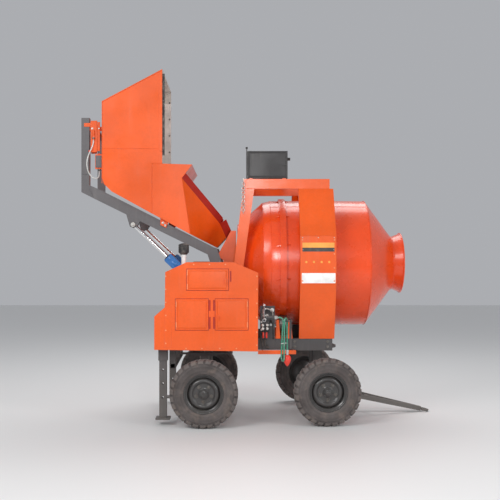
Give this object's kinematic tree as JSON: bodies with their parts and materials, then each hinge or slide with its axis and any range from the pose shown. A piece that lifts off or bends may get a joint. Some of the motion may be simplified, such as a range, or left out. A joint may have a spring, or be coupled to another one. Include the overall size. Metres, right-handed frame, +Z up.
{
  "type": "concrete mixer",
  "caption": "Towable reversible-drum concrete mixer with a raised hydraulic loading hopper, engine housing, ring-gear guards, control cabinet, four wheels and a drawbar.",
  "frame": {"origin": "on the ground under the middle of the machine's bounding box", "axes": "+X towards the drum mouth and drawbar, +Y to the side without doors, +Z up"},
  "size_m": [3.9919, 2.1, 3.895],
  "materials": {
    "orange_paint": "satin",
    "drum_paint": "gloss",
    "chassis_paint": "satin",
    "arm_grey": "satin",
    "cabinet_black": "matte",
    "rim_black": "satin",
    "tyre": "matte",
    "black_rubber": "matte",
    "cylinder_blue": "satin",
    "steel": "satin",
    "chrome": "polished",
    "machined": "satin",
    "engine_grey": "satin",
    "hose_green": "satin",
    "nozzle_red": "gloss",
    "cable_grey": "satin",
    "zinc": "satin"
  },
  "bodies": {
    "chassis": {"chassis_rails": "chassis_paint", "cross_members": "chassis_paint", "hopper_towers": "chassis_paint", "top_frame": "orange_paint", "gear_guards": "orange_paint", "inlet_chute": "orange_paint", "side_panel_near": "orange_paint", "side_panel_far": "orange_paint", "engine_hood": "orange_paint", "engine": "engine_grey", "precleaner": "black_rubber", "tanks": "chassis_paint", "valve_block": "chassis_paint", "roller_brackets": "orange_paint", "drum_motor": "chassis_paint", "control_cabinet": "cabinet_black", "fixed_axle": "chassis_paint", "jack_sleeves": "chassis_paint", "wash_hose": "hose_green", "hose_nozzle": "nozzle_red", "safety_chain": "zinc", "panel_screws": "zinc"},
    "drum": {"drum_shell": "drum_paint", "mixing_blades": "machined", "ring_gear": "machined", "track_rings": "machined"},
    "pinion": {"pinion": "machined"},
    "hopper": {"hopper_arms": "arm_grey", "hopper_bucket": "orange_paint", "hopper_spout": "orange_paint", "mouth_strips": "black_rubber", "load_cells": "orange_paint", "hopper_cable": "cable_grey"},
    "steer_axle": {"steer_axle": "chassis_paint"},
    "drawbar": {"drawbar": "chassis_paint"},
    "roller_feed_near": {"roller_feed_near": "machined"},
    "roller_feed_far": {"roller_feed_far": "machined"},
    "roller_mouth_near": {"roller_mouth_near": "machined"},
    "roller_mouth_far": {"roller_mouth_far": "machined"},
    "lift_barrel_near": {"lift_barrel_near": "cylinder_blue"},
    "lift_rod_near": {"lift_rod_near": "chrome"},
    "fixed_wheel_near": {"fixed_rim_near": "rim_black", "fixed_tyre_near": "tyre"},
    "steer_wheel_near": {"steer_rim_near": "rim_black", "steer_tyre_near": "tyre"},
    "jack_leg_near": {"jack_leg_near": "chassis_paint"},
    "lift_barrel_far": {"lift_barrel_far": "cylinder_blue"},
    "lift_rod_far": {"lift_rod_far": "chrome"},
    "fixed_wheel_far": {"fixed_rim_far": "rim_black", "fixed_tyre_far": "tyre"},
    "steer_wheel_far": {"steer_rim_far": "rim_black", "steer_tyre_far": "tyre"},
    "jack_leg_far": {"jack_leg_far": "chassis_paint"},
    "upper_door": {"upper_door": "orange_paint"},
    "lower_door_left": {"lower_door_left": "orange_paint"},
    "lower_door_right": {"lower_door_right": "orange_paint"},
    "upper_door_latch": {"upper_door_latch": "zinc"},
    "lower_door_latch": {"lower_door_latch": "zinc"},
    "cabinet_door": {"cabinet_door": "cabinet_black"},
    "drum_lever": {"drum_lever": "chrome"}
  },
  "joints": [
    {"name": "drum_spin", "type": "hinge", "parent": "chassis", "child": "drum", "pos_m": [0.5, 0, 1.76], "axis": [1, 0, 0], "continuous": true},
    {"name": "pinion_spin", "type": "hinge", "parent": "chassis", "child": "pinion", "pos_m": [0.575, 0.64064, 1.11936], "axis": [1, 0, 0], "continuous": true},
    {"name": "roller_feed_near_spin", "type": "hinge", "parent": "chassis", "child": "roller_feed_near", "pos_m": [0.24, -0.49691, 1.07606], "axis": [1, 0, 0], "continuous": true},
    {"name": "roller_feed_far_spin", "type": "hinge", "parent": "chassis", "child": "roller_feed_far", "pos_m": [0.24, 0.49691, 1.07606], "axis": [1, 0, 0], "continuous": true},
    {"name": "roller_mouth_near_spin", "type": "hinge", "parent": "chassis", "child": "roller_mouth_near", "pos_m": [0.7, -0.49691, 1.07606], "axis": [1, 0, 0], "continuous": true},
    {"name": "roller_mouth_far_spin", "type": "hinge", "parent": "chassis", "child": "roller_mouth_far", "pos_m": [0.7, 0.49691, 1.07606], "axis": [1, 0, 0], "continuous": true},
    {"name": "hopper_lift", "type": "hinge", "parent": "chassis", "child": "hopper", "pos_m": [-0.5, 0, 1.62], "axis": [0, -1, 0], "range_deg": [0, 88]},
    {"name": "lift_swing_near", "type": "hinge", "parent": "chassis", "child": "lift_barrel_near", "pos_m": [-0.48, -0.58, 1.289], "axis": [0, -1, 0], "range_deg": [0, 86.56]},
    {"name": "lift_slide_near", "type": "slide", "parent": "lift_barrel_near", "child": "lift_rod_near", "axis": [-0.7249, 0, 0.6888], "range_m": [-0.4617, 0]},
    {"name": "lift_swing_far", "type": "hinge", "parent": "chassis", "child": "lift_barrel_far", "pos_m": [-0.48, 0.58, 1.289], "axis": [0, -1, 0], "range_deg": [0, 86.56]},
    {"name": "lift_slide_far", "type": "slide", "parent": "lift_barrel_far", "child": "lift_rod_far", "axis": [-0.7249, 0, 0.6888], "range_m": [-0.4617, 0]},
    {"name": "steer_turn", "type": "hinge", "parent": "chassis", "child": "steer_axle", "pos_m": [0.645, 0, 0.788], "axis": [0, 0, 1], "range_deg": [-39, 31]},
    {"name": "drawbar_lift", "type": "hinge", "parent": "steer_axle", "child": "drawbar", "pos_m": [0.75473, 0.00767, 0.3], "axis": [0.0698, -0.9976, 0], "range_deg": [0, 57]},
    {"name": "fixed_wheel_near_spin", "type": "hinge", "parent": "chassis", "child": "fixed_wheel_near", "pos_m": [-0.629, -0.9675, 0.367], "axis": [0, 1, 0], "continuous": true},
    {"name": "steer_wheel_near_spin", "type": "hinge", "parent": "steer_axle", "child": "steer_wheel_near", "pos_m": [0.70394, -0.84294, 0.367], "axis": [-0.0698, 0.9976, 0], "continuous": true},
    {"name": "jack_leg_near_slide", "type": "slide", "parent": "chassis", "child": "jack_leg_near", "axis": [0, 0, 1], "range_m": [-0.06, 0.25]},
    {"name": "fixed_wheel_far_spin", "type": "hinge", "parent": "chassis", "child": "fixed_wheel_far", "pos_m": [-0.629, 0.9675, 0.367], "axis": [0, 1, 0], "continuous": true},
    {"name": "steer_wheel_far_spin", "type": "hinge", "parent": "steer_axle", "child": "steer_wheel_far", "pos_m": [0.58606, 0.84294, 0.367], "axis": [-0.0698, 0.9976, 0], "continuous": true},
    {"name": "jack_leg_far_slide", "type": "slide", "parent": "chassis", "child": "jack_leg_far", "axis": [0, 0, 1], "range_m": [-0.06, 0.25]},
    {"name": "upper_door_hinge", "type": "hinge", "parent": "chassis", "child": "upper_door", "pos_m": [-0.807, -0.927, 1.584], "axis": [0, 0, -1], "range_deg": [0, 110]},
    {"name": "lower_door_left_hinge", "type": "hinge", "parent": "chassis", "child": "lower_door_left", "pos_m": [-0.927, -0.927, 1.21], "axis": [0, 0, -1], "range_deg": [0, 110]},
    {"name": "lower_door_right_hinge", "type": "hinge", "parent": "chassis", "child": "lower_door_right", "pos_m": [-0.162, -0.927, 1.21], "axis": [0, 0, 1], "range_deg": [0, 110]},
    {"name": "upper_latch_turn", "type": "hinge", "parent": "upper_door", "child": "upper_door_latch", "pos_m": [-0.397, -0.94, 1.58], "axis": [0, -1, 0], "range_deg": [0, 90]},
    {"name": "lower_latch_turn", "type": "hinge", "parent": "lower_door_right", "child": "lower_door_latch", "pos_m": [-0.476, -0.94, 1.19], "axis": [0, -1, 0], "range_deg": [0, 90]},
    {"name": "cabinet_door_hinge", "type": "hinge", "parent": "chassis", "child": "cabinet_door", "pos_m": [-0.16, -0.61, 2.85], "axis": [0, 0, -1], "range_deg": [0, 110]},
    {"name": "drum_lever_tilt", "type": "hinge", "parent": "chassis", "child": "drum_lever", "pos_m": [0.021, -0.809, 1.14], "axis": [0, 1, 0], "range_deg": [-16, 20]}
  ],
  "couplings": [
    {"joint": "pinion_spin", "follows": "drum_spin", "ratio": -7.6},
    {"joint": "roller_feed_near_spin", "follows": "drum_spin", "ratio": -7.45},
    {"joint": "roller_feed_far_spin", "follows": "drum_spin", "ratio": -7.45},
    {"joint": "roller_mouth_near_spin", "follows": "drum_spin", "ratio": -7.45},
    {"joint": "roller_mouth_far_spin", "follows": "drum_spin", "ratio": -7.45},
    {"joint": "lift_swing_near", "follows": "hopper_lift", "ratio": 0.98137},
    {"joint": "lift_slide_near", "follows": "hopper_lift", "m_per_rad": -0.29933},
    {"joint": "lift_swing_far", "follows": "hopper_lift", "ratio": 0.98137},
    {"joint": "lift_slide_far", "follows": "hopper_lift", "m_per_rad": -0.29933}
  ]
}
